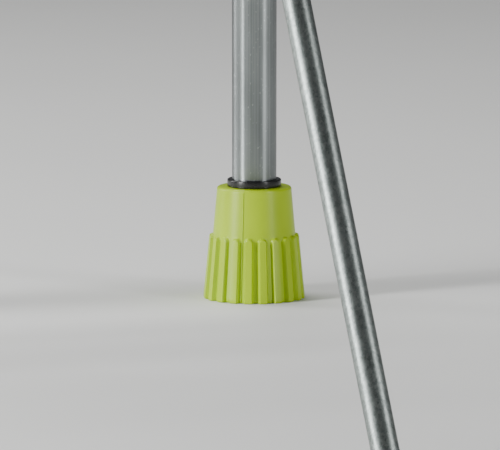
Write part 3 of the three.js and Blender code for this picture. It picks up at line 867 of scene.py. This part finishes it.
def head():
    """The bridge: an I bar, a socket with two rims round each stile, and the two hinge ears."""
    plane = stile_point(1, hinge.z)
    stop = box_middle("stop_pin")
    web, flange, tall = 5 * MM, 16 * MM, 28 * MM  # half of each of the bar's measures
    inside = tall - 6 * MM
    neck = inside - 3 * MM
    section = [(-flange, -tall), (flange, -tall), (flange, -inside), (web, -neck), (web, neck)]
    section += [(flange, inside), (flange, tall), (-flange, tall), (-flange, inside), (-web, neck)]
    section += [(-web, -neck), (-flange, -inside)]
    bar_middle = Vector((0, plane.y, hinge.z))
    shapes = [plate([section], bar_middle, Y_AXIS, UP, plane.x - STILE_R, 1.2 * MM)]
    root = Vector((0, plane.y + 10 * MM, hinge.z))
    links = [link_outline(root, 27 * MM, hinge, EAR_R), link_outline(hinge, EAR_R, stop, 12 * MM)]
    edge, rim_length = 1.6 * MM, 9 * MM
    rim_r, rim_bore = SOCKET_R + 1 * MM, STILE_R + 2 * MM
    half = (EAR_OUT - EAR_IN) / 2
    boss = Vector((0, hinge.y, hinge.z))
    for side in SIDES:
        axis = stile_direction(side)
        low = stile_point(side, hinge.z - 50 * MM)
        length = (stile_point(side, hinge.z + 32 * MM) - low).length
        shapes.append(rounded_tube(low, axis, 0, length, SOCKET_R, STILE_R + GAP, edge, 72))
        for rim in (0, length - rim_length):
            shapes.append(rounded_tube(low, axis, rim, rim + rim_length, rim_r, rim_bore, edge, 72))
        ear_middle = X_AXIS * side * (EAR_IN + EAR_OUT) / 2
        for link in links:
            shapes.append(plate([link], ear_middle, Y_AXIS, UP, half, 1 * MM))
        shapes.append(rounded_rod(boss, X_AXIS * side, EAR_IN, EAR_OUT, 14 * MM, 0.5 * MM, 48))
    casting("head_bridge", shapes, "cast_aluminium", "stile_frame", ["head_casting"], 1.4 * MM)


def head_fasteners():
    seat = SOCKET_R + GAP
    for side, word in SIDES.items():
        place = stile_point(side, hinge.z - 12 * MM)
        axis = backward(side)
        hex_bolt(f"{word}_bridge_bolt", place, axis, seat, BOLT_HEAD_H, BOLT_HEAD_R, BOLT_R, -seat - 10 * MM,
                 "stile_frame", [f"{word}_head_bolt"])
        nut = hexagon(place, -axis, seat, 6.5 * MM, BOLT_HEAD_R, bore=BOLT_R + 0.2 * MM)
        build(f"{word}_bridge_nut", [nut], "zinc_plated_steel", "stile_frame", [f"{word}_head_nut"])


def hinge_fasteners():
    """The hinge bolt with its nut and washers, and the domed rivet that stops the prop."""
    seat = EAR_OUT + GAP
    nut_seat = seat + WASHER + GAP
    hex_bolt("fold_bolt", hinge, -X_AXIS, nut_seat, 6 * MM, 10 * MM, PIN_R, -nut_seat - 11 * MM,
             "stile_frame", ["hinge_pin"])
    nut = hexagon(hinge, X_AXIS, nut_seat, 9 * MM, 10.4 * MM, bore=PIN_R + 0.1 * MM)
    build("fold_nut", [nut], "zinc_plated_steel", "stile_frame", ["hinge_nut"])
    for side, word in SIDES.items():
        axis = X_AXIS * side
        washer = rounded_tube(hinge, axis, seat, seat + WASHER, 11.5 * MM, PIN_R + GAP, 0.35 * MM, 64)
        build(f"{word}_washer", [washer], "zinc_plated_steel", "stile_frame", [f"{word}_hinge_washer"])
    rivet_r = 9 * MM
    half = [(PIN_R, seat), (rivet_r, seat), (rivet_r, seat + 0.6 * MM)]
    half += [*fillet(6 * MM, seat + 0.9 * MM, 2.5 * MM, 0, 80, 5), (0, seat + 3.4 * MM)]
    profile = [(r, -z) for r, z in reversed(half)] + half
    rivet = lathe(box_middle("stop_pin"), X_AXIS, profile, 48)
    build("stop_rivet", [rivet], "zinc_plated_steel", "stile_frame", ["stop_pin"])


def prop_fittings():
    """The cast eye in the prop's top, with its cross bolt."""
    hub_half = EAR_IN - GAP
    hub = rounded_tube(hinge, X_AXIS, -hub_half, hub_half, 17 * MM, PIN_R + 0.1 * MM, 1.2 * MM, 72)
    neck = rounded_tube(hinge, prop_down, 14 * MM, OUTER_TOP - GAP, 15.4 * MM, 3 * MM, 1 * MM, 72)
    plug = rounded_rod(hinge, prop_down, 30 * MM, 95 * MM, OUTER_BORE - 0.4 * MM, 1 * MM, 72)
    casting("swivel_eye", [hub, neck, plug], "cast_aluminium", "prop", ["prop_eye"], 0.8 * MM, 4)
    cross = prop_point(EYE_BOLT_ALONG)
    seat = OUTER_R + GAP
    head_r, shank_r = 5.8 * MM, 3 * MM
    hex_bolt("eye_cross_bolt", cross, -X_AXIS, seat, 4 * MM, head_r, shank_r, -OUTER_R - 7 * MM, "prop",
             ["eye_bolt"])
    nut = hexagon(cross, X_AXIS, seat, 5 * MM, head_r, bore=shank_r + 0.1 * MM)
    build("eye_cross_nut", [nut], "zinc_plated_steel", "prop", ["eye_nut"])


def guide():
    """The plastic collar at the outer tube's end, with grip rings and a boss for the clamp screw."""
    bore, guide_bore = OUTER_R + 0.25 * MM, INNER_R + GAP
    crown, lip = 2.6 * MM, 3 * MM
    groove_r = GUIDE_R - 0.9 * MM
    tube_end = OUTER_BOTTOM + GAP
    profile = [(bore, GUIDE_TOP), *fillet(GUIDE_R - crown, GUIDE_TOP + crown, crown, -80, 0)]
    for step in range(4):
        start = GUIDE_TOP + (24 + 3.2 * step) * MM
        profile += [(GUIDE_R, start), (groove_r, start + 0.5 * MM), (groove_r, start + 1.3 * MM)]
        profile.append((GUIDE_R, start + 1.8 * MM))
    profile += [*fillet(GUIDE_R - lip, GUIDE_BOTTOM - lip, lip, 0, 80), (guide_bore, GUIDE_BOTTOM)]
    profile += [(guide_bore, tube_end), (bore, tube_end)]
    body = lathe(hinge, prop_down, profile, 96, loop=True)
    boss_bore = INSERT_R + GAP
    boss_profile = [(boss_bore, 17 * MM), (14 * MM, 18.5 * MM), (11.8 * MM, 21.5 * MM), (11 * MM, 24 * MM)]
    boss_profile += [*fillet(10 * MM, 29 * MM, 1 * MM, 0, 90), (boss_bore, 30 * MM)]
    boss = lathe(clamp_point, prop_back, boss_profile, 64, loop=True)
    build("guide_sleeve", [body, boss], "black_plastic", "prop", ["guide_collar"])
    shank_r, shank_tip, seat = 2 * MM, 14.2 * MM, GUIDE_R + GAP
    profile = [(0, 22.4 * MM), (1.2 * MM, 22.4 * MM), (1.6 * MM, 23.2 * MM)]
    profile += [*fillet(3 * MM, 22 * MM, 1.4 * MM, 70, 0), (4.4 * MM, seat), (shank_r, seat)]
    profile += [(shank_r, shank_tip), (0, shank_tip)]
    screw = lathe(prop_point(1278 * MM), prop_back, profile, 40)
    build("sleeve_screw", [screw], "zinc_plated_steel", "prop", ["collar_screw"])


def clamp():
    """The brass insert, the clamp screw and its lobed knob."""
    insert = rounded_tube(clamp_point, prop_back, 18.4 * MM, 29.7 * MM, INSERT_R, 4.08 * MM, 0.3 * MM, 48)
    build("threaded_insert", [insert], "brass", "prop", ["clamp_insert"])
    stud = thread(clamp_point, prop_back, INNER_R + 0.35 * MM, 42 * MM, BOLT_R, 1.25 * MM)
    build("clamp_screw", [stud], "zinc_plated_steel", "clamp", ["clamp_stud"])
    sideways = X_AXIS.cross(prop_back)

    def knob_ring(along, width, wave):
        points = []
        for turn in around(144):
            swell = math.sin(math.pi / 2 * math.cos(KNOB_LOBES * turn))
            reach = (KNOB_R + LOBE_DEPTH * wave * swell) * width
            direction = X_AXIS * math.cos(turn) + sideways * math.sin(turn)
            points.append(clamp_point + prop_back * along + direction * reach)
        return points

    # Distance along the screw in mm, share of the full width, and share of the lobes' depth.
    under = [(31, 0.3, 0), (31, 0.86, 1), (31.4, 0.94, 1), (32.6, 1, 1)]
    over = [(43, 1, 1), (45, 0.95, 1), (46.1, 0.86, 0.9), (46.6, 0.72, 0.6), (47.4, 0.6, 0.1)]
    dish = [(48, 0.5, 0), (48, 0.34, 0), (47.3, 0.3, 0)]
    rings = [[clamp_point + prop_back * 31 * MM]]
    rings += [knob_ring(along * MM, width, wave) for along, width, wave in under + over + dish]
    rings.append([clamp_point + prop_back * 47.3 * MM])
    build("star_knob", [ring_mesh(rings)], "black_plastic", "clamp", ["clamp_knob"], sharp=50)


# ---- Studio -------------------------------------------------------------------------------
def area_light(name, location, target, power, size, height):
    data = bpy.data.lights.new(name, "AREA")
    data.shape = "RECTANGLE"
    data.energy = power
    data.size = size
    data.size_y = height
    lamp = bpy.data.objects.new(name, data)
    bpy.context.scene.collection.objects.link(lamp)
    lamp.location = location
    lamp.rotation_euler = (Vector(target) - Vector(location)).to_track_quat("-Z", "Y").to_euler()


def studio():
    bpy.ops.mesh.primitive_plane_add(size=60)
    floor = bpy.context.object
    floor.name = "studio_floor"
    floor.data.materials.append(floor_paint())
    world = bpy.data.worlds.new("studio")
    bpy.context.scene.world = world
    world.use_nodes = True
    world.node_tree.nodes["Background"].inputs["Color"].default_value = (0.5, 0.51, 0.53, 1)
    world.node_tree.nodes["Background"].inputs["Strength"].default_value = 0.25
    # Tall strips round the left foot, which draw the long highlights on the tubes.
    foot = (-0.36, -0.66, 0.3)
    area_light("key", (3.0, -0.1, 1.5), foot, 225, 0.45, 2.6)
    area_light("side", (1.8, -2.5, 1.4), foot, 45, 0.9, 2.4)
    area_light("fill", (-2.2, 2.3, 1.4), foot, 52, 0.5, 2.4)
    area_light("top", (0.2, -2.4, 4.2), (0, 0, 0.8), 120, 2.4, 2.0)


place_camera()
stile_feet()
prop_base()
stiles()
prop_tubes()
treads()
head()
head_fasteners()
hinge_fasteners()
prop_fittings()
guide()
clamp()
studio()
